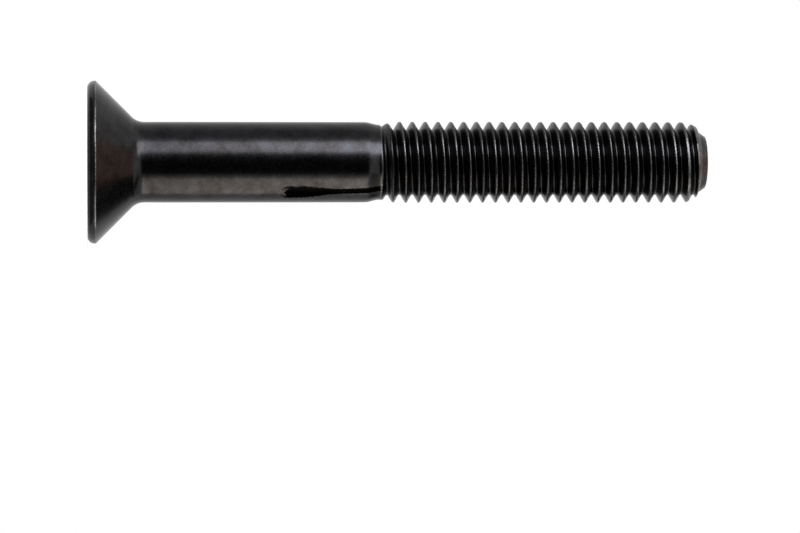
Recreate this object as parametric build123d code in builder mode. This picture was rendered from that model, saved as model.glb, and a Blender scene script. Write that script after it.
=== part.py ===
"""Countersunk socket screw, M8 x 60, part threaded, made of one piece of black steel.

Sizes are in millimetres. The screw stands on the flat face of its head: the origin is the centre of that
face, and +Z runs along the axis to the point of the thread.
"""

from build123d import *

import os
from math import ceil, cos, radians, sin, sqrt, tan

os.makedirs("parts", exist_ok=True)

# ---- Driving dimensions ----------------------------------------------------------------------------

screw_length = 60.0  # head face to point, as countersunk screws are measured

# Head: a 90 degree cone under a short rim, with the forged corner of its face rounded.
head_diameter = 15.7
rim_height = 0.79
cone_included_angle = 90.0
face_corner_radius = 0.65
under_head_radius = 1.3

# Plain shank, then the neck: the blank that the thread is rolled on, about as thick as the pitch diameter.
shank_diameter = 7.78
shank_end = 27.0
shank_taper_length = 1.0
shank_taper_radius = 0.5
neck_diameter = 7.22
neck_length = 0.2

# Thread: M8 coarse, right-handed. Its groove starts where the neck does and is full after one turn, and
# the crests rise from the neck over the run-out. It is laid out in straight runs between the flats of a
# many-sided bar, whose corners stand as far outside the round thread as its flats lie inside.
thread_pitch = 1.25
thread_major_diameter = 7.86
thread_angle = 60.0
thread_sides = 18
groove_start_azimuth = 100.8
runout_pitches = 1.3
point_diameter = 5.1
point_chamfer_angle = 41.0

# Hexagon socket: punched, so it ends in a shallow cone, with a small countersink at its mouth.
socket_across_flats = 5.05
socket_depth = 3.1
socket_bottom_angle = 120.0
socket_mouth_diameter = 6.0
socket_mouth_angle = 90.0

cutter_clearance = 0.05  # by which cutting bodies start or end outside the steel

# ---- Derived sizes ---------------------------------------------------------------------------------

head_radius = head_diameter / 2
shank_radius = shank_diameter / 2
neck_radius = neck_diameter / 2
thread_radius = thread_major_diameter / 2
point_radius = point_diameter / 2

cone_height = (head_radius - shank_radius) / tan(radians(cone_included_angle / 2))
head_height = rim_height + cone_height
neck_start = shank_end + shank_taper_length
neck_end = neck_start + neck_length

# Thread form: crests an eighth and roots a sixth of the pitch wide, joined by straight flanks.
crest_width = thread_pitch / 8
root_width = thread_pitch / 6
flank_slope = tan(radians(thread_angle / 2))
thread_depth = (thread_pitch - crest_width - root_width) / 2 / flank_slope
corner_ratio = 1 / sqrt(cos(radians(180 / thread_sides)))
crest_corner_radius = thread_radius * corner_ratio
root_corner_radius = (thread_radius - thread_depth) * corner_ratio
turn_count = ceil((screw_length - neck_start) / thread_pitch)

# Turned outline of the threaded end, which stands clear of the many-sided bar between its two cones.
outline_radius = crest_corner_radius + cutter_clearance
runout_slope = (thread_radius - neck_radius) / (runout_pitches * thread_pitch)
runout_end = neck_end + (outline_radius - neck_radius) / runout_slope
chamfer_start = screw_length - (outline_radius - point_radius) / tan(radians(point_chamfer_angle))

socket_flat_radius = socket_across_flats / 2
socket_bottom_height = socket_flat_radius / tan(radians(socket_bottom_angle / 2))
socket_mouth_radius = socket_mouth_diameter / 2
socket_mouth_height = (socket_mouth_radius - socket_flat_radius) / tan(radians(socket_mouth_angle / 2))

# Halves of the lengthwise sections, as corners (radius, height) with the round on each.
threaded_end_corners = {
    (0, neck_end): 0,
    (neck_radius, neck_end): 0,
    (outline_radius, runout_end): 0,
    (outline_radius, chamfer_start): 0,
    (point_radius, screw_length): 0,
    (0, screw_length): 0,
}
head_and_shank_corners = {
    (0, 0): 0,
    (head_radius, 0): face_corner_radius,
    (head_radius, rim_height): 0,
    (shank_radius, head_height): under_head_radius,
    (shank_radius, shank_end): shank_taper_radius,
    (neck_radius, neck_start): 0,
    (neck_radius, neck_end): 0,
    (0, neck_end): 0,
}


def lengthwise_section(corners):
    """Half of a turned body's section, to be revolved about the axis."""
    with BuildSketch(Plane.XZ) as section:
        with BuildLine():
            FilletPolyline(*corners, radius=list(corners.values()), close=True)
        make_face()
    return section.sketch


def groove_section(side, depth_share):
    """Section of the groove's cutter at one corner of the bar, with its bottom at a share of full depth."""
    turn = side / thread_sides
    azimuth = radians(groove_start_azimuth + 360 * turn)
    start_radius = neck_radius + cutter_clearance
    bottom = start_radius + (root_corner_radius - start_radius) * depth_share
    half_bottom = root_width / 2
    half_top = half_bottom + (outline_radius - bottom) * flank_slope
    section_plane = Plane(
        origin=(0, 0, neck_start + thread_pitch * turn),
        x_dir=(cos(azimuth), sin(azimuth), 0),
        z_dir=(sin(azimuth), -cos(azimuth), 0),
    )
    with BuildSketch(section_plane) as section:
        with BuildLine():
            Polyline(
                (bottom, -half_bottom),
                (outline_radius, -half_top),
                (outline_radius, half_top),
                (bottom, half_bottom),
                close=True,
            )
        make_face()
    return section.sketch


# ---- The screw -------------------------------------------------------------------------------------

# Cutters for the groove: the first turn, which sinks to full depth, and one full turn above it.
with BuildPart() as first_turn:
    loft(
        sections=[
            groove_section(side, sin(radians(90 * side / thread_sides)))
            for side in range(thread_sides + 1)
        ],
        ruled=True,
    )

with BuildPart() as full_turn:
    loft(
        sections=[groove_section(thread_sides + side, 1) for side in range(thread_sides + 1)],
        ruled=True,
    )

with BuildPart() as countersunk_screw:
    # Threaded end: the many-sided bar, turned down to the run-out's cone and the chamfered point.
    with BuildSketch(Plane.XY.offset(neck_end)):
        RegularPolygon(radius=crest_corner_radius, side_count=thread_sides, rotation=groove_start_azimuth)
    extrude(amount=screw_length - neck_end)
    add(lengthwise_section(threaded_end_corners))
    revolve(axis=Axis.Z, mode=Mode.INTERSECT)

    # Head, shank and neck, turned round the axis.
    add(lengthwise_section(head_and_shank_corners))
    revolve(axis=Axis.Z)

    # Thread groove, turn by turn.
    add(first_turn.part, mode=Mode.SUBTRACT)
    with Locations(*[(0, 0, thread_pitch * turn) for turn in range(turn_count)]):
        add(full_turn.part, mode=Mode.SUBTRACT)

    # Socket: hexagonal hole, conical bottom and countersunk mouth, all cut from the head's face.
    with BuildSketch(Plane.XY):
        RegularPolygon(radius=socket_flat_radius, side_count=6, major_radius=False)
    extrude(amount=socket_depth, mode=Mode.SUBTRACT)
    with Locations((0, 0, socket_depth)):
        Cone(
            bottom_radius=socket_flat_radius,
            top_radius=0,
            height=socket_bottom_height,
            align=(Align.CENTER, Align.CENTER, Align.MIN),
            mode=Mode.SUBTRACT,
        )
    Cone(
        bottom_radius=socket_mouth_radius,
        top_radius=socket_flat_radius,
        height=socket_mouth_height,
        align=(Align.CENTER, Align.CENTER, Align.MIN),
        mode=Mode.SUBTRACT,
    )

countersunk_screw.part.label = "countersunk_screw"
export_step(countersunk_screw.part, "parts/countersunk_screw.step")
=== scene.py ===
"""Visual model of a black countersunk socket screw, M8 x 60, part threaded.

The screw is one turned surface. Each of its sub-assemblies gives a band of that surface, as whole arrays
of radius and height over the azimuth. The bands run from the bottom of the socket, round the head and along
the shank and the thread to the point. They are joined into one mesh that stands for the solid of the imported
model, on whose size and place they are laid out. The screw's sizes are in millimetres until its mesh is
made, and the studio's are in metres.
"""

import logging
import math
from dataclasses import dataclass
from enum import Enum
from typing import Any, Callable, NamedTuple

import bmesh
import bpy
import numpy as np
from mathutils import Matrix, Vector


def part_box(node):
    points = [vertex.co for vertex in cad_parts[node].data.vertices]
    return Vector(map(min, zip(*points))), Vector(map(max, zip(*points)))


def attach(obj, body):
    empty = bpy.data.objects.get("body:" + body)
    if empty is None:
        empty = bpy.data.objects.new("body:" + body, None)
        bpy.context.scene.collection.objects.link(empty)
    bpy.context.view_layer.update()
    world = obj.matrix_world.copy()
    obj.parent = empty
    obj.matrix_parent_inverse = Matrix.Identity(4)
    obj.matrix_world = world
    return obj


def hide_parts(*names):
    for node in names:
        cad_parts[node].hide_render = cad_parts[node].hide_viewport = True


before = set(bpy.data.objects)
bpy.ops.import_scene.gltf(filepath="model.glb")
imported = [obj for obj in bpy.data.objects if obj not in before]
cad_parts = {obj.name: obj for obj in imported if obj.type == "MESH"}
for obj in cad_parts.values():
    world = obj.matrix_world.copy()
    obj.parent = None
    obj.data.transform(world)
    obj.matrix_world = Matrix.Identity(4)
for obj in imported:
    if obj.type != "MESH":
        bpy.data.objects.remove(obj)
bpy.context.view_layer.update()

MM = 0.001
NODE = "countersunk_screw"
COLUMNS = 108  # strips round the axis, a multiple of the socket's six sides
MERGE_DISTANCE = 0.0008  # millimetres within which doubled points are merged
SLIVER_LENGTH = 0.0004  # millimetres under which an edge is dissolved
SHARP_ANGLE = 38.0  # degrees between faces above which their edge is shaded sharp

Span = tuple[float, float]
Point = tuple[float, float, float]
Corner = tuple[float, float, float]  # radius, height and round of a section line's corner

log = logging.getLogger("screw")


# ---- Geometry helpers ------------------------------------------------------------------------------


class Band(NamedTuple):
    """Rows of points on the turned surface, each row once round the axis.

    All three arrays have one row per ring and COLUMNS + 1 columns, and the last column closes on the first.
    """

    radius: np.ndarray
    height: np.ndarray
    worn: np.ndarray


def azimuths() -> np.ndarray:
    """Gives the azimuth of every column, in radians from +X, the last one a full turn."""
    return np.linspace(0.0, 2.0 * np.pi, COLUMNS + 1)


def smooth(x: np.ndarray | float, low: float, high: float) -> np.ndarray:
    """Rises from 0 at low to 1 at high as 3t^2 - 2t^3, with t = (x - low) / (high - low).

    Args:
        x: values to map.
        low: where the rise starts.
        high: where the rise ends.

    Returns:
        The mapped values, from 0 to 1.
    """
    t = np.clip((np.asarray(x, float) - low) / (high - low), 0.0, 1.0)
    return t * t * (3.0 - 2.0 * t)


def soft_min(a: np.ndarray | float, b: np.ndarray | float, blend: float) -> np.ndarray:
    """Gives the smaller of two values with a rounded change-over, (a + b - sqrt((a - b)^2 + blend^2)) / 2.

    Args:
        a: first values.
        b: second values.
        blend: width of the change-over, in the unit of the values.

    Returns:
        The blended smaller values.
    """
    return (a + b - np.sqrt((a - b) ** 2 + blend**2)) / 2.0


def rounded_line(corners: list[Corner], chords: int = 6) -> np.ndarray:
    """Rounds the corners of a section line with arcs that are tangent to both of its sides.

    At a corner p with unit directions a and b towards its neighbours and the angle 2h between them, an arc
    of radius R has its centre at p + (a + b) / |a + b| * R / sin h and starts R / tan h from p. The arc's
    points turn evenly from one tangent point to the other.

    Args:
        corners: radius, height and round of each corner, the round 0 where the corner stays sharp.
        chords: number of chords in each arc.

    Returns:
        Array of radius and height, one row for each point of the line.
    """
    points = [np.array(corner[:2], float) for corner in corners]
    line = [points[0][None]]
    for before, here, after, (_, _, r) in zip(points, points[1:], points[2:], corners[1:-1]):
        if r <= 0.0:
            line.append(here[None])
            continue
        a, b = (before - here), (after - here)
        a, b = a / np.linalg.norm(a), b / np.linalg.norm(b)
        half = 0.5 * math.acos(float(np.clip(a @ b, -1.0, 1.0)))
        middle = (a + b) / np.linalg.norm(a + b)
        centre = here + middle * r / math.sin(half)
        start, end = here + a * r / math.tan(half) - centre, here + b * r / math.tan(half) - centre
        t = np.linspace(0.0, 1.0, chords + 1)[:, None]
        turn = math.pi - 2.0 * half
        line.append(centre + (np.sin((1.0 - t) * turn) * start + np.sin(t * turn) * end) / math.sin(turn))
    line.append(points[-1][None])
    return np.concatenate(line)


def turned(line: np.ndarray, worn: np.ndarray | None = None) -> Band:
    """Turns a section line round the axis, so each of its points becomes a ring.

    Args:
        line: radius and height of each point.
        worn: bare share of each point, 0 where left out.

    Returns:
        The band, with radius(i, j) = line radius i for every column j.
    """
    wear = np.zeros(len(line)) if worn is None else worn
    columns = np.ones(COLUMNS + 1)
    return Band(np.outer(line[:, 0], columns), np.outer(line[:, 1], columns), np.outer(wear, columns))


def close_seams(mesh: bpy.types.Mesh) -> None:
    """Merges doubled points along seams and poles, and turns all faces outwards.

    Args:
        mesh: mesh to change.
    """
    work = bmesh.new()
    work.from_mesh(mesh)
    bmesh.ops.remove_doubles(work, verts=work.verts, dist=MERGE_DISTANCE * MM)
    bmesh.ops.dissolve_degenerate(work, dist=SLIVER_LENGTH * MM, edges=work.edges)
    bmesh.ops.recalc_face_normals(work, faces=work.faces)
    work.to_mesh(mesh)
    work.free()


def add_object(name: str, data: bpy.types.ID) -> bpy.types.Object:
    """Makes an object and links it to the scene.

    Args:
        name: name of the object.
        data: its mesh, lamp or camera.

    Returns:
        The new object, at the origin.
    """
    made = bpy.data.objects.new(name, data)
    bpy.context.scene.collection.objects.link(made)
    return made


# ---- Sub-assemblies of the screw -------------------------------------------------------------------


@dataclass
class HexagonSocket:
    """Punched hexagon with a conical bottom and a small countersink at its mouth."""

    across_flats: float = 5.05
    depth: float = 3.1
    bottom_angle: float = 120.0
    mouth_diameter: float = 6.0
    bottom_rings: int = 6
    wall_rings: int = 8
    mouth_rings: int = 3

    def wall_radius(self) -> np.ndarray:
        """Gives the hexagon's radius at each column.

        With the flat radius f and the azimuth t from the middle of the nearest flat, it is f / cos t. The
        corners lie on +X and -X.

        Returns:
            The radius at each column.
        """
        t = np.mod(azimuths(), math.pi / 3.0) - math.pi / 6.0
        return 0.5 * self.across_flats / np.cos(t)

    def band(self) -> Band:
        """Gives the socket's surface from the tip of its bottom cone to its mouth on the head's face.

        The mouth cone has radius m - z at height z, so it meets the wall of radius w at z = m - w.

        Returns:
            The rows of the bottom, the wall and the mouth.
        """
        flat, mouth = 0.5 * self.across_flats, 0.5 * self.mouth_diameter
        wall = self.wall_radius()
        wall_end = mouth - wall
        cone = flat / math.tan(math.radians(self.bottom_angle / 2.0))
        bottom = np.linspace(0.0, 1.0, self.bottom_rings + 1)[:, None] * np.ones_like(wall)
        side = np.linspace(0.0, 1.0, self.wall_rings + 1)[:, None]
        lip = np.linspace(0.0, 1.0, self.mouth_rings + 1)[1:, None]
        radius = np.concatenate([bottom * flat, wall + 0.0 * side, wall + (mouth - wall) * lip])
        height = np.concatenate(
            [
                self.depth + (1.0 - bottom) * cone,
                self.depth + (wall_end - self.depth) * side,
                wall_end * (1.0 - lip),
            ]
        )
        return Band(radius, height, np.zeros_like(radius))


@dataclass
class CountersunkHead:
    """Flat face, short rim and the cone that runs into the shank."""

    radius: float
    mouth_diameter: float
    shank_radius: float
    rim_height: float = 0.79
    cone_angle: float = 90.0
    face_corner_radius: float = 0.65
    rim_edge_radius: float = 0.06
    under_head_radius: float = 1.7
    face_ring_radii: tuple[float, ...] = (4.2, 5.8)
    rim_margin: float = 0.10
    cone_margins: tuple[float, ...] = (0.07, 0.45, 1.95)
    shank_run: float = 1.4
    arc_chords: int = 8
    edge_worn: float = 1.7
    worn_reach: Span = (0.03, 0.10)

    def cone_height(self, radius: float) -> float:
        """Gives the height at which the cone has a radius r, z = rim height + (R - r) / tan(angle / 2)."""
        return self.rim_height + (self.radius - radius) / math.tan(math.radians(self.cone_angle / 2.0))

    def band(self) -> Band:
        """Gives the head from the socket's mouth to the start of the shank.

        The worn share is highest on the edge between rim and cone and falls off on both sides of it.

        Returns:
            The rows of the face, the rim and the cone.
        """
        face_radii = (self.mouth_diameter / 2.0, *self.face_ring_radii)
        cone_radii = (self.radius - margin for margin in self.cone_margins)
        cone_end = self.cone_height(self.shank_radius)
        line = rounded_line(
            [
                *((radius, 0.0, 0.0) for radius in face_radii),
                (self.radius, 0.0, self.face_corner_radius),
                (self.radius, self.rim_height - self.rim_margin, 0.0),
                (self.radius, self.rim_height, self.rim_edge_radius),
                *((radius, self.cone_height(radius), 0.0) for radius in cone_radii),
                (self.shank_radius, cone_end, self.under_head_radius),
                (self.shank_radius, cone_end + self.shank_run, 0.0),
            ],
            self.arc_chords,
        )
        gap = np.hypot(line[:, 0] - self.radius, line[:, 1] - self.rim_height)
        return turned(line, self.edge_worn * (1.0 - smooth(gap, *self.worn_reach)))


@dataclass
class Shank:
    """Plain shank, its taper and the neck, which is the blank that the thread is rolled on."""

    radius: float
    head_height: float
    end: float = 27.0
    taper: float = 1.0
    neck_radius: float = 3.61
    shoulder_blend: float = 0.05
    neck_blend: float = 0.07
    head_margin: float = 2.0
    shoulder_margins: Span = (0.8, 0.6)
    plain_rings: int = 24
    taper_rings: int = 14

    def radius_at(self, height: np.ndarray) -> np.ndarray:
        """Gives the turned radius under the thread.

        A straight taper t(z) leads from the shank's radius R to the neck's radius n, and the line is
        max(n, min(R, t(z))) with both change-overs rounded.

        Args:
            height: heights at which the radius is wanted.

        Returns:
            The radius at each height.
        """
        line = self.radius - (self.radius - self.neck_radius) * (height - self.end) / self.taper
        shoulder = soft_min(self.radius, line, self.shoulder_blend)
        return -soft_min(-self.neck_radius, -shoulder, self.neck_blend)

    def band(self, top: float) -> Band:
        """Gives the shank from just above the head to the first ring of the thread.

        Args:
            top: height of that first ring, on the taper.

        Returns:
            The rows of the plain shank and the taper.
        """
        below, above = self.shoulder_margins
        plain = np.linspace(self.head_height + self.head_margin, self.end - below, self.plain_rings)
        tapered = np.linspace(self.end - above, top, self.taper_rings)
        heights = np.concatenate([plain, tapered])
        return turned(np.column_stack([self.radius_at(heights), heights]))


@dataclass
class RolledThread:
    """Right-handed metric thread with rolled crests and roots, rolled on the neck of a shank.

    Its crests rise out of the neck from rise_start, and its roots sink into it from sink_start. Bare steel
    shows on the crests, on the lip at the point and on a collar where the roots start.
    """

    shank: Shank
    major_radius: float = 3.93
    pitch: float = 1.25
    depth: float = 0.767
    flank_to_axis: float = 60.0
    crest_round: float = 0.135
    root_round: float = 0.15
    crest_on_x: float = 28.275
    band_start: float = 27.6
    rise_start: float = 28.0
    rise_length: float = 1.9
    sink_start: float = 28.2
    sink_length: float = 0.95
    crest_worn: float = 0.75
    crest_reach: float = 0.05
    lip_worn: float = 1.15
    lip_reach: Span = (-0.02, 0.01)
    collar_worn: float = 0.6
    collar_offset: float = 0.06
    collar_reach: Span = (0.02, 0.10)
    flank_rows: int = 6
    arc_chords: int = 3

    def section(self) -> np.ndarray:
        """Gives one pitch of the thread's section, from the middle of a root towards the next one.

        An arc of radius R that is tangent to flanks at 60 degrees to the axis has its points at R sin a
        along the axis and R (1 - cos a) from its top or bottom, with a up to 60 degrees. Straight flanks
        join the arcs.

        Returns:
            Array of the distance along the axis, the radius and the crest share of each row.
        """
        low, high = self.major_radius - self.depth, self.major_radius
        middle = self.pitch / 2.0
        a = np.radians(np.linspace(0.0, self.flank_to_axis, self.arc_chords + 1))
        arc = np.stack([np.sin(a), 1.0 - np.cos(a)], 1)
        root = [0.0, low] + self.root_round * arc
        crest = [middle, high] - self.crest_round * arc[::-1]
        t = np.linspace(0.0, 1.0, self.flank_rows + 2)[1:-1, None]
        rising = np.concatenate([root, root[-1] + (crest[0] - root[-1]) * t, crest])
        falling = rising[-2:0:-1] * [-1.0, 1.0] + [self.pitch, 0.0]
        rows = np.concatenate([rising, falling])
        top = 1.0 - smooth(np.abs(rows[:, 0] - middle), 0.0, self.crest_reach)
        return np.column_stack([rows, top])

    def band(self, outline: Callable[[np.ndarray], np.ndarray], end: float) -> Band:
        """Gives the thread as one sheared band whose rows follow the helix.

        Row i of turn k stands at z = z0 + k P + s_i + P t / 2 pi at azimuth t, so that the last column
        falls on the first column of the next turn. Heights are held between the band's ends. With n for
        the neck's radius, the radius leaves the turned blank b(z) as r = b(z) + (r_s - n) w(z). The weight
        w is sin(90 degrees (z - sink start) / sink length) for roots, which soon reach their full depth,
        and a slower smooth rise for crests. The outline of the point cuts the radius down to c(z).

        Args:
            outline: function of height that gives the radius at which the point cuts the thread off.
            end: height at which that radius is below the roots.

        Returns:
            The rows of all turns.
        """
        section = self.section()
        first_root = self.crest_on_x - self.pitch / 2.0
        first = math.floor((self.band_start - first_root) / self.pitch) - 1
        turns = np.arange(first, math.ceil((end - first_root) / self.pitch) + 1)
        s = (first_root + turns[:, None] * self.pitch + section[:, 0]).reshape(-1)
        ideal = np.tile(section[:, 1], len(turns))
        crest = np.tile(section[:, 2], len(turns))
        height = np.clip(s[:, None] + self.pitch * azimuths() / (2.0 * np.pi), self.band_start, end)
        rise = smooth(height, self.rise_start, self.rise_start + self.rise_length)
        sink = np.sin(0.5 * np.pi * np.clip((height - self.sink_start) / self.sink_length, 0.0, 1.0))
        over = ideal[:, None] - self.shank.neck_radius
        radius = self.shank.radius_at(height) + over * np.where(over > 0.0, rise, sink)
        cut = outline(height)
        from_collar = np.abs(height - self.sink_start - self.collar_offset)
        crest_wear = self.crest_worn * crest[:, None] * rise
        lip_wear = self.lip_worn * smooth(radius - cut, *self.lip_reach)
        collar_wear = self.collar_worn * (1.0 - smooth(from_collar, *self.collar_reach))
        worn = np.maximum(np.maximum(crest_wear, lip_wear), collar_wear)
        return Band(np.minimum(radius, cut), height, worn)


@dataclass
class ChamferedPoint:
    """Chamfer at the end of the thread, with the lip that rolling left on it, and the end face."""

    length: float
    major_radius: float
    radius: float = 2.54
    angle: float = 34.6
    shoulder_blend: float = 0.28
    lip: float = 0.36
    lip_start: float = 59.1
    lip_end: float = 59.36
    foot_margin: float = 0.05
    edge_radius: float = 0.05
    face_ring_radius: float = 1.2
    worn: float = 0.3

    def outline(self, height: np.ndarray) -> np.ndarray:
        """Gives the radius of the outline that cuts the thread off.

        The cone has c = point radius + (length - z) tan(angle). Rolling lifts the crests above it by the
        lip, which ends in a short step, and leaves them flatter towards the point: r is the smaller of the
        major radius and c + lip (1 - rise(z)), with a rounded change-over.

        Args:
            height: heights at which the radius is wanted.

        Returns:
            The radius at each height.
        """
        cone = self.radius + (self.length - height) * math.tan(math.radians(self.angle))
        lifted = cone + self.lip * (1.0 - smooth(height, self.lip_start, self.lip_end))
        return soft_min(self.major_radius, lifted, self.shoulder_blend)

    def band(self) -> Band:
        """Gives the chamfer from the foot of the lip to the middle of the end face.

        Returns:
            The rows of the chamfer and the end face.
        """
        foot = self.lip_end + self.foot_margin
        foot_radius, end_radius = self.outline(np.array([foot, self.length]))
        line = rounded_line(
            [
                (foot_radius, foot, 0.0),
                (end_radius, self.length, self.edge_radius),
                (self.face_ring_radius, self.length, 0.0),
                (0.0, self.length, 0.0),
            ]
        )
        return turned(line, self.worn * (line[:, 0] > self.radius - self.edge_radius))


# ---- Finish ----------------------------------------------------------------------------------------

MATH = "ShaderNodeMath"
RANGE = "ShaderNodeMapRange"
NOISE = "ShaderNodeTexNoise"
MIX = "ShaderNodeMix"
EASED = {"interpolation_type": "SMOOTHSTEP"}
COLOUR = {"data_type": "RGBA"}
COLOUR_A, COLOUR_B = 6, 7  # numbers of the colour inputs of a mix node
WHITE = "#ffffff"


def linear(colour: str) -> tuple[float, float, float, float]:
    """Turns an sRGB hex colour to linear light.

    A share c of full light turns to c / 12.92 up to 0.04045 and to ((c + 0.055) / 1.055)^2.4 above that.

    Args:
        colour: six hex digits after a hash sign.

    Returns:
        Linear red, green, blue and alpha.
    """
    parts = [int(colour[i : i + 2], 16) / 255.0 for i in (1, 3, 5)]
    red, green, blue = (c / 12.92 if c <= 0.04045 else ((c + 0.055) / 1.055) ** 2.4 for c in parts)
    return red, green, blue, 1.0


def cleared(block: bpy.types.Material | bpy.types.World) -> bpy.types.NodeTree:
    """Gives the node tree of a new material or world, with nothing in it.

    Args:
        block: the material or world.

    Returns:
        Its empty node tree.
    """
    block.use_nodes = True
    block.node_tree.nodes.clear()
    return block.node_tree


def add_node(
    tree: bpy.types.NodeTree,
    kind: str,
    settings: dict[str, Any] | None = None,
    inputs: dict[Any, Any] | list[Any] | None = None,
) -> bpy.types.Node:
    """Adds one node with its settings and links.

    Args:
        tree: node tree that takes the node.
        kind: type name of the node.
        settings: values for the node's own properties.
        inputs: values of its inputs, by name or number or in their order. An output that stands for a value
            is linked, and so is a node, by the first of its outputs that is in use.

    Returns:
        The new node.
    """
    node = tree.nodes.new(kind)
    for name, value in (settings or {}).items():
        setattr(node, name, value)
    pairs = inputs.items() if isinstance(inputs, dict) else enumerate(inputs or [])
    for name, value in pairs:
        if isinstance(value, bpy.types.Node):
            value = next(output for output in value.outputs if output.enabled)
        if isinstance(value, bpy.types.NodeSocket):
            tree.links.new(value, node.inputs[name])
        else:
            node.inputs[name].default_value = value
    return node


@dataclass(frozen=True)
class Mottle:
    """Irregular blotches of a real size, with finer layers on them."""

    size_mm: float
    layers: float
    layer_strength: float

    def inputs(self, place: bpy.types.NodeSocket) -> dict[str, Any]:
        """Gives the inputs of a noise node, with 1 / size as its scale.

        Args:
            place: coordinates in metres.

        Returns:
            Value of each input by name.
        """
        scale = 1.0 / (self.size_mm * MM)
        return {"Vector": place, "Scale": scale, "Detail": self.layers, "Roughness": self.layer_strength}


@dataclass(frozen=True)
class BlackStreak:
    """Narrow black streak along the plain shank, inside which the metal shows no shine.

    Its middle runs from one azimuth to another while it narrows towards the thread. Its start is broken
    into dots, and its end fades out on the taper.
    """

    start_mm: float = 18.5
    end_mm: float = 28.7
    azimuths: Span = (-39.0, -44.5)
    half_widths: Span = (13.0, 5.5)
    narrow_mm: Span = (20.0, 24.4)
    dots: Mottle = Mottle(size_mm=0.26, layers=3.0, layer_strength=0.65)
    ragged_share: float = 0.9
    edge: Span = (1.08, 0.84)
    broken_offsets_mm: Span = (-0.3, 1.0)
    broken_levels: Span = (0.72, 0.28)
    dot_edge: float = 0.03
    fade_mm: float = 0.2

    def mask(self, tree: bpy.types.NodeTree, place: bpy.types.NodeSocket) -> bpy.types.Node:
        """Gives 1 inside the streak and 0 outside it, with a dotted edge.

        At height z and azimuth a = atan2(y, x), the distance from the middle is |a - m(z)| / h(z), with
        m and h mapped from the start to the end. The edge is where the distance and the noise about its
        mean add up to one. Along the broken start, only noise above a falling level counts.

        Args:
            tree: node tree of the material.
            place: object coordinates.

        Returns:
            Node that gives the streak's share.
        """
        axes = add_node(tree, "ShaderNodeSeparateXYZ", {}, [place]).outputs
        along = axes["Z"]
        azimuth = add_node(tree, MATH, {"operation": "ARCTAN2"}, [axes["Y"], axes["X"]])
        middles, halves = np.radians([self.azimuths, self.half_widths]).tolist()
        ends = (self.start_mm * MM, self.end_mm * MM)
        middle = add_node(tree, RANGE, {}, [along, *ends, *middles])
        half = add_node(tree, RANGE, EASED, [along, *(z * MM for z in self.narrow_mm), *halves])
        from_middle = add_node(tree, MATH, {"operation": "SUBTRACT"}, [azimuth, middle])
        aside = add_node(tree, MATH, {"operation": "ABSOLUTE"}, [from_middle])
        distance = add_node(tree, MATH, {"operation": "DIVIDE"}, [aside, half])
        dots = add_node(tree, NOISE, {}, self.dots.inputs(place))
        inset = add_node(tree, MATH, {"operation": "SUBTRACT"}, [distance, self.ragged_share / 2.0])
        ragged = add_node(tree, MATH, {"operation": "MULTIPLY_ADD"}, [dots, self.ragged_share, inset])
        inside = add_node(tree, RANGE, EASED, [ragged, *self.edge, 0.0, 1.0])
        broken = ((self.start_mm + offset) * MM for offset in self.broken_offsets_mm)
        level = add_node(tree, RANGE, {}, [along, *broken, *self.broken_levels])
        above = add_node(tree, MATH, {"operation": "SUBTRACT"}, [dots, level])
        begun = add_node(tree, RANGE, EASED, [above, -self.dot_edge, self.dot_edge, 0.0, 1.0])
        fade = (self.end_mm * MM, (self.end_mm - self.fade_mm) * MM)
        ended = add_node(tree, RANGE, {}, [along, *fade, 0.0, 1.0])
        started = add_node(tree, MATH, {"operation": "MULTIPLY"}, [inside, begun])
        return add_node(tree, MATH, {"operation": "MULTIPLY"}, [started, ended])


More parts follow.
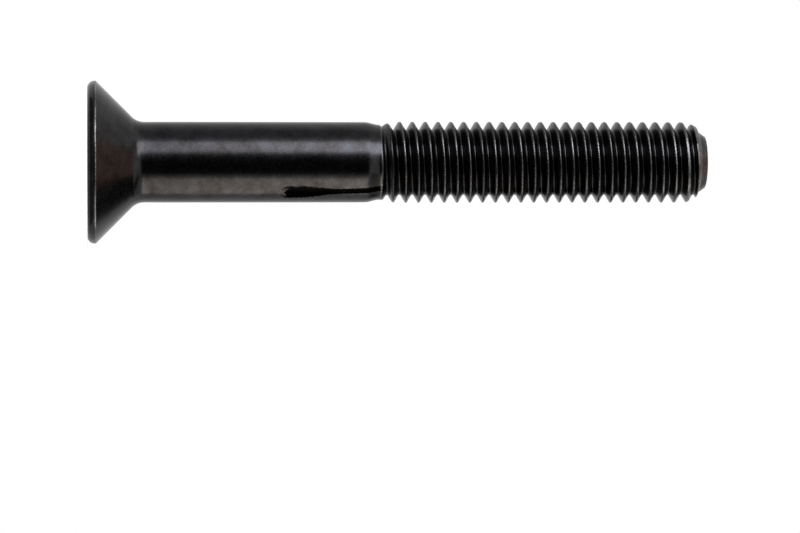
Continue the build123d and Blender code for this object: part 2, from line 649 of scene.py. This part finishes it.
@dataclass(frozen=True)
class BlackOxideSteel:
    """Black-oxide alloy steel under a rust-preventive film: a thin magnetite skin on rolled and forged metal.

    The eye sees a dark satin metal with soft, low highlights, faint grain, brownish and bluish clouds, and
    bare steel in specks along the crests and edges, where the screws rub on each other. Rubbing has
    scratched the bare steel, so it is rougher than the skin. The real grain is finer than the grain here,
    which is drawn as coarse as it needs to be to show.
    """

    oxide_dark: str = "#252322"
    oxide_light: str = "#323234"
    bare: str = "#848382"
    streak_black: str = "#050505"
    edge_tint: str = "#e8e8e8"
    roughness: float = 0.25
    bare_roughness: float = 0.42
    bare_full: float = 0.6
    grain_roughness: float = 0.05
    cloud: Mottle = Mottle(size_mm=1.6, layers=4.0, layer_strength=0.7)
    cloud_range: Span = (0.35, 0.65)
    grain: Mottle = Mottle(size_mm=0.14, layers=2.0, layer_strength=0.6)
    grain_range: Span = (0.3, 0.7)
    grain_height_mm: float = 0.004
    grain_strength: float = 0.35
    speck: Mottle = Mottle(size_mm=0.12, layers=2.0, layer_strength=0.7)
    speck_range: Span = (0.42, 0.62)
    speck_least: float = 0.25
    rub: Mottle = Mottle(size_mm=1.7, layers=1.0, layer_strength=0.5)
    rub_range: Span = (0.38, 0.64)
    rub_least: float = 0.30
    streak: BlackStreak = BlackStreak()

    def bare_share(self, tree: bpy.types.NodeTree, place: bpy.types.NodeSocket) -> bpy.types.Node:
        """Gives how much bare steel shows: the worn attribute, broken into specks that come and go.

        Args:
            tree: node tree of the material.
            place: object coordinates.

        Returns:
            Node that gives the share of bare steel.
        """
        worn = add_node(tree, "ShaderNodeAttribute", {"attribute_name": "worn"}).outputs["Fac"]
        specks = add_node(tree, NOISE, {}, self.speck.inputs(place))
        speckled = add_node(tree, RANGE, {}, [specks, *self.speck_range, self.speck_least, 1.0])
        rubs = add_node(tree, NOISE, {}, self.rub.inputs(place))
        rubbed = add_node(tree, RANGE, {}, [rubs, *self.rub_range, self.rub_least, 1.0])
        broken = add_node(tree, MATH, {"operation": "MULTIPLY"}, [speckled, rubbed])
        return add_node(tree, MATH, {"operation": "MULTIPLY"}, [worn, broken])

    def build(self, name: str) -> bpy.types.Material:
        """Makes the material.

        Args:
            name: name of the new material.

        Returns:
            The material, on Object coordinates and the mesh's worn attribute.
        """
        material = bpy.data.materials.new(name)
        tree = cleared(material)
        place = add_node(tree, "ShaderNodeTexCoord").outputs["Object"]
        clouds = add_node(tree, NOISE, {}, self.cloud.inputs(place))
        tone = add_node(tree, RANGE, {}, [clouds, *self.cloud_range, 0.0, 1.0])
        tones = {COLOUR_A: linear(self.oxide_dark), COLOUR_B: linear(self.oxide_light)}
        skin = add_node(tree, MIX, COLOUR, {0: tone, **tones})
        # Black streak along the shank: inside it the base colour and the edge tint turn near-black, so it
        # shows no shine.
        in_streak = self.streak.mask(tree, place)
        streaked = add_node(tree, MIX, COLOUR, {0: in_streak, COLOUR_A: skin, COLOUR_B: linear(self.streak_black)})
        bare = self.bare_share(tree, place)
        colour = add_node(tree, MIX, COLOUR, {0: bare, COLOUR_A: streaked, COLOUR_B: linear(self.bare)})
        tints = {COLOUR_A: linear(self.edge_tint), COLOUR_B: linear(self.streak_black)}
        tint = add_node(tree, MIX, COLOUR, {0: in_streak, **tints})
        grain = add_node(tree, NOISE, {}, self.grain.inputs(place)).outputs["Fac"]
        spread = (-self.grain_roughness, self.grain_roughness)
        grainy = add_node(tree, RANGE, {}, [grain, *self.grain_range, *spread])
        roughnesses = (self.roughness, self.bare_roughness)
        scratched = add_node(tree, RANGE, {}, [bare, 0.0, self.bare_full, *roughnesses])
        rough = add_node(tree, MATH, {"operation": "ADD"}, [scratched, grainy])
        relief = {"Height": grain, "Strength": self.grain_strength, "Distance": self.grain_height_mm * MM}
        bump = add_node(tree, "ShaderNodeBump", {}, relief)
        metal = {"Base Color": colour, "Metallic": 1.0, "Roughness": rough, "Specular Tint": tint}
        shader = add_node(tree, "ShaderNodeBsdfPrincipled", {}, {**metal, "Normal": bump})
        add_node(tree, "ShaderNodeOutputMaterial", {}, [shader])
        return material


# ---- The screw -------------------------------------------------------------------------------------


@dataclass
class Screw:
    """The whole screw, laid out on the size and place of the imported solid."""

    low: Vector
    high: Vector
    shank_radius: float = 3.89
    finish: BlackOxideSteel = BlackOxideSteel()

    def bands(self) -> list[Band]:
        """Gives the bands of all sub-assemblies.

        Returns:
            The bands, in order from the socket's bottom to the point.
        """
        socket = HexagonSocket()
        head = CountersunkHead(float(self.high.x) / MM, socket.mouth_diameter, self.shank_radius)
        shank = Shank(self.shank_radius, head.cone_height(self.shank_radius))
        thread = RolledThread(shank)
        point = ChamferedPoint(float(self.high.z) / MM, thread.major_radius)
        return [
            socket.band(),
            head.band(),
            shank.band(thread.band_start),
            thread.band(point.outline, point.lip_end),
            point.band(),
        ]

    def build(self) -> bpy.types.Object:
        """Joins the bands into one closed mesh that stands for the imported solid.

        A point at radius r, azimuth t and height z is at (r cos t, r sin t, z).

        Returns:
            The screw's object, at the origin.
        """
        bands = self.bands()
        radius, height, worn = (np.concatenate([band[i] for band in bands]) for i in range(3))
        t = azimuths()
        points = np.stack([radius * np.cos(t), radius * np.sin(t), height], -1).reshape(-1, 3) * MM
        rows, columns = radius.shape
        corner = (np.arange(rows - 1)[:, None] * columns + np.arange(columns - 1)).reshape(-1)
        quads = np.stack([corner, corner + 1, corner + columns + 1, corner + columns], 1)
        mesh = bpy.data.meshes.new("socket_screw")
        mesh.from_pydata(points, [], quads)
        wear = mesh.attributes.new("worn", "FLOAT", "POINT")
        wear.data.foreach_set("value", worn.reshape(-1).astype(np.float32))
        close_seams(mesh)
        mesh.shade_smooth()
        mesh.set_sharp_from_angle(angle=math.radians(SHARP_ANGLE))
        mesh.materials.append(self.finish.build("black_oxide_steel"))
        return add_object("socket_screw", mesh)


# ---- Studio ----------------------------------------------------------------------------------------


def seen_white(tree: bpy.types.NodeTree) -> bpy.types.Node:
    """Gives 1 for rays from the camera and from shiny or clear surfaces, and 0 for all others.

    Args:
        tree: node tree of a material or world.

    Returns:
        Node that gives the share.
    """
    path = add_node(tree, "ShaderNodeLightPath").outputs
    mirrored = [path["Is Glossy Ray"], path["Is Transmission Ray"]]
    shiny = add_node(tree, MATH, {"operation": "MAXIMUM"}, mirrored)
    return add_node(tree, MATH, {"operation": "MAXIMUM"}, [path["Is Camera Ray"], shiny])


def add_sheet(name: str, corners: np.ndarray, material: bpy.types.Material) -> bpy.types.Object:
    """Makes a flat sheet of one face.

    Args:
        name: name of the mesh and the object.
        corners: x, y and z of each corner, in order round the sheet.
        material: its material.

    Returns:
        The sheet's object.
    """
    mesh = bpy.data.meshes.new(name)
    mesh.from_pydata(corners, [], [tuple(range(len(corners)))])
    mesh.materials.append(material)
    return add_object(name, mesh)


def level_rectangle(x: Span, y: Span, z: float) -> np.ndarray:
    """Gives the corners of a rectangle that lies level and spans x and y at the height z."""
    return np.array([(x[0], y[0], z), (x[1], y[0], z), (x[1], y[1], z), (x[0], y[1], z)])


def upright_rectangle(x: Span, y: Span, z: Span) -> np.ndarray:
    """Gives the corners of a rectangle that stands on a line from the first x and y to the second."""
    return np.array([(x[0], y[0], z[0]), (x[1], y[1], z[0]), (x[1], y[1], z[1]), (x[0], y[0], z[1])])


@dataclass
class Lamp:
    """Soft rectangular lamp that faces the screw."""

    name: str
    place: Point
    width: float
    height: float
    power: float
    colour: str = WHITE

    def build(self, target: Vector) -> bpy.types.Object:
        """Makes the lamp, unseen by the camera.

        Args:
            target: point that the lamp faces.

        Returns:
            The lamp's object.
        """
        light = bpy.data.lights.new(self.name, "AREA")
        light.shape = "RECTANGLE"
        light.size, light.size_y = self.width, self.height
        light.energy = self.power
        light.color = linear(self.colour)[:3]
        lamp = add_object(self.name, light)
        lamp.location = self.place
        lamp.rotation_euler = (target - Vector(self.place)).to_track_quat("-Z", "Y").to_euler()
        lamp.visible_camera = False
        return lamp


class CardTone(Enum):
    """Tones of the cards that the screw mirrors."""

    BLACK = "#000000"
    DIM = "#8c8c8c"
    GREY = "#c8c8ce"
    TAN = "#ffcdb6"

    def paper(self) -> bpy.types.Material:
        """Makes the card's paper, which has its even tone in any light.

        Returns:
            The material.
        """
        material = bpy.data.materials.new(f"card_{self.name.lower()}")
        tree = cleared(material)
        even = add_node(tree, "ShaderNodeEmission", {}, {"Color": linear(self.value), "Strength": 1.0})
        add_node(tree, "ShaderNodeOutputMaterial", {}, [even])
        return material


@dataclass
class Card:
    """Flat card near the screw, which only shiny surfaces show."""

    name: str
    tone: CardTone
    corners: np.ndarray

    def build(self) -> bpy.types.Object:
        """Makes the card, which casts no shadow, lights nothing and is unseen by the camera.

        Returns:
            The card's object.
        """
        card = add_sheet(self.name, self.corners, self.tone.paper())
        card.visible_camera = card.visible_shadow = card.visible_diffuse = False
        return card


@dataclass(frozen=True)
class WhiteSheet:
    """Matt white sheet: the eye sees the screw's soft shadow on it, and plain white farther off."""

    colour: str = "#e7e7e7"
    lift: float = 0.5
    shade_radius: float = 0.05
    white_radius: float = 0.16

    def build(self, name: str) -> bpy.types.Material:
        """Makes the material.

        It is matt, with a lift near the screw's foot that blends into plain white from the shade radius to
        the white radius. Only rays that see white get the lift and the plain white.

        Args:
            name: name of the new material.

        Returns:
            The material, on Object coordinates.
        """
        material = bpy.data.materials.new(name)
        tree = cleared(material)
        place = add_node(tree, "ShaderNodeTexCoord").outputs["Object"]
        away = add_node(tree, "ShaderNodeVectorMath", {"operation": "LENGTH"}, [place]).outputs["Value"]
        far = add_node(tree, RANGE, EASED, [away, self.shade_radius, self.white_radius, 0.0, 1.0])
        seen = seen_white(tree)
        matt = add_node(tree, "ShaderNodeBsdfDiffuse", {}, {"Color": linear(self.colour)})
        lifted = add_node(tree, MATH, {"operation": "MULTIPLY"}, [seen, self.lift])
        glow = add_node(tree, "ShaderNodeEmission", {}, {"Color": linear(WHITE), "Strength": lifted})
        near = add_node(tree, "ShaderNodeAddShader", {}, [matt, glow])
        plain = add_node(tree, "ShaderNodeEmission", {}, {"Color": linear(WHITE), "Strength": 1.0})
        share = add_node(tree, MATH, {"operation": "MULTIPLY"}, [far, seen])
        both = add_node(tree, "ShaderNodeMixShader", {}, [share, near, plain])
        add_node(tree, "ShaderNodeOutputMaterial", {}, [both])
        return material


@dataclass
class Studio:
    """White floor, white surroundings, soft lamps, cards and the camera."""

    floor_size: float = 6.0
    floor_gap: float = 0.00001
    sheet: WhiteSheet = WhiteSheet()
    room_light: str = "#f4f6ff"
    room_strength: float = 0.45
    card_distance: float = 0.25
    card_height: float = 0.13
    card_lift: float = 0.00003
    card_arc: float = 55.0
    card_arc_points: int = 9
    card_arc_radii: Span = (0.0078, 0.030)
    card_floor_side: float = 0.30
    card_floor_span: Span = (-0.30, 0.06)
    camera_place: Point = (0.01009, -0.36765, 0.0014)
    camera_turn: Point = (0.0782, 0.0018, 0.0)
    lens: float = 171.0
    sensor_width: float = 36.0
    camera_clip: Span = (0.01, 50.0)

    def floor(self, height: float) -> bpy.types.Object:
        """Makes the floor.

        Args:
            height: height of the floor, in metres.

        Returns:
            The floor's object.
        """
        span = (-self.floor_size / 2.0, self.floor_size / 2.0)
        floor = add_sheet("floor", level_rectangle(span, span, height), self.sheet.build("white_sheet"))
        return floor

    def surroundings(self) -> None:
        """Makes the world: plain white where it is seen, and a soft grey light elsewhere."""
        world = bpy.data.worlds.new("white_room")
        bpy.context.scene.world = world
        tree = cleared(world)
        room = {"Color": linear(self.room_light), "Strength": self.room_strength}
        soft = add_node(tree, "ShaderNodeBackground", {}, room)
        white = add_node(tree, "ShaderNodeBackground", {}, {"Color": linear(WHITE), "Strength": 1.0})
        mixed = add_node(tree, "ShaderNodeMixShader", {}, [seen_white(tree), soft, white])
        add_node(tree, "ShaderNodeOutputWorld", {}, [mixed])

    def lamps(self) -> list[Lamp]:
        """Gives the lamps.

        Returns:
            A tall cool lamp to the front and -X, and a wide, low, warm one on +X.
        """
        return [
            Lamp("key_lamp", (-0.343, -0.364, 0.22), width=0.32, height=0.44, power=3.65, colour="#f4f6ff"),
            Lamp("fill_lamp", (0.47, -0.12, 0.06), width=0.50, height=0.11, power=0.76, colour="#fff4e6"),
        ]

    def floor_cards(self) -> list[Card]:
        """Gives the cards that lie on the floor in front of the head.

        They meet along an arc round the screw's axis, with points at (r sin a, -r cos a) for angles a on
        both sides of -Y. The near one starts at a smaller arc, just outside the head.

        Returns:
            The dim card near the head and the black card beyond it.
        """
        a = np.radians(np.linspace(-self.card_arc, self.card_arc, self.card_arc_points))
        arc = np.stack([np.sin(a), -np.cos(a), np.zeros_like(a)], 1)
        inner, middle = ([0.0, 0.0, self.card_lift] + radius * arc for radius in self.card_arc_radii)
        side, (front, back) = self.card_floor_side, self.card_floor_span
        outer = level_rectangle((side, -side), (front, back), self.card_lift)
        from_back = np.roll(outer, 1, axis=0)
        return [
            Card("near_floor_card", CardTone.DIM, np.concatenate([inner, middle[::-1]])),
            Card("far_floor_card", CardTone.BLACK, np.concatenate([middle, from_back])),
        ]

    def cards(self) -> list[Card]:
        """Gives the cards that the screw mirrors.

        The front card and the floor cards give the dark band along the shank and the dark rim, and the side
        card greys the -X side. The cone card darkens the head's cone towards +X, and the slope card the
        flanks of the thread. The top card gives the cone its warm tone.

        Returns:
            All cards.
        """
        far, upright = self.card_distance, (0.0, self.card_height)
        cone = np.array(
            [
                (0.021, -0.009, 0.055),
                (0.037, 0.008, 0.046),
                (0.040, 0.026, 0.034),
                (0.022, 0.030, 0.044),
                (0.010, 0.008, 0.056),
            ]
        )
        return [
            Card("front_card", CardTone.BLACK, upright_rectangle((-0.10, 0.20), (-far, -far), upright)),
            *self.floor_cards(),
            Card("side_card", CardTone.GREY, upright_rectangle((-far, -far), (-0.10, 0.08), upright)),
            Card("cone_card", CardTone.BLACK, cone),
            Card("slope_card", CardTone.BLACK, upright_rectangle((far, far), (-0.28, 0.05), (0.21, 0.36))),
            Card("top_card", CardTone.TAN, level_rectangle((-0.08, 0.10), (-0.04, 0.12), 0.30)),
        ]

    def camera(self) -> bpy.types.Object:
        """Makes the camera: level with the floor and on its side, so the axis runs across the picture.

        Returns:
            The camera's object.
        """
        data = bpy.data.cameras.new("camera")
        data.lens, data.sensor_width = self.lens, self.sensor_width
        data.clip_start, data.clip_end = self.camera_clip
        camera = add_object("camera", data)
        turn = Vector(self.camera_turn)
        aim = Matrix(((0.0, -1.0, 0.0), (0.0, 0.0, -1.0), (1.0, 0.0, 0.0)))
        turned_aim = Matrix.Rotation(turn.length, 3, turn.normalized()) @ aim
        camera.matrix_world = Matrix.Translation(self.camera_place) @ turned_aim.to_4x4()
        bpy.context.scene.camera = camera
        return camera

    def build(self, low: Vector, high: Vector) -> None:
        """Sets up everything round the screw.

        Args:
            low: lowest corner of the object.
            high: highest corner of the object.
        """
        self.floor(float(low.z) - self.floor_gap)
        self.surroundings()
        for lamp in self.lamps():
            lamp.build((low + high) / 2.0)
            log.info("lamp %s", lamp.name)
        for card in self.cards():
            card.build()
            log.info("card %s", card.name)
        self.camera()


def main() -> None:
    """Builds the screw and the studio."""
    logging.basicConfig(level=logging.INFO, format="%(name)s: %(message)s")
    bpy.context.scene.view_settings.view_transform = "Standard"
    low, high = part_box(NODE)
    screw = Screw(low, high).build()
    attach(screw, "root")
    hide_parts(NODE)
    log.info("%s: %d faces", screw.name, len(screw.data.polygons))
    Studio().build(low, high)


if __name__ == "__main__":
    main()
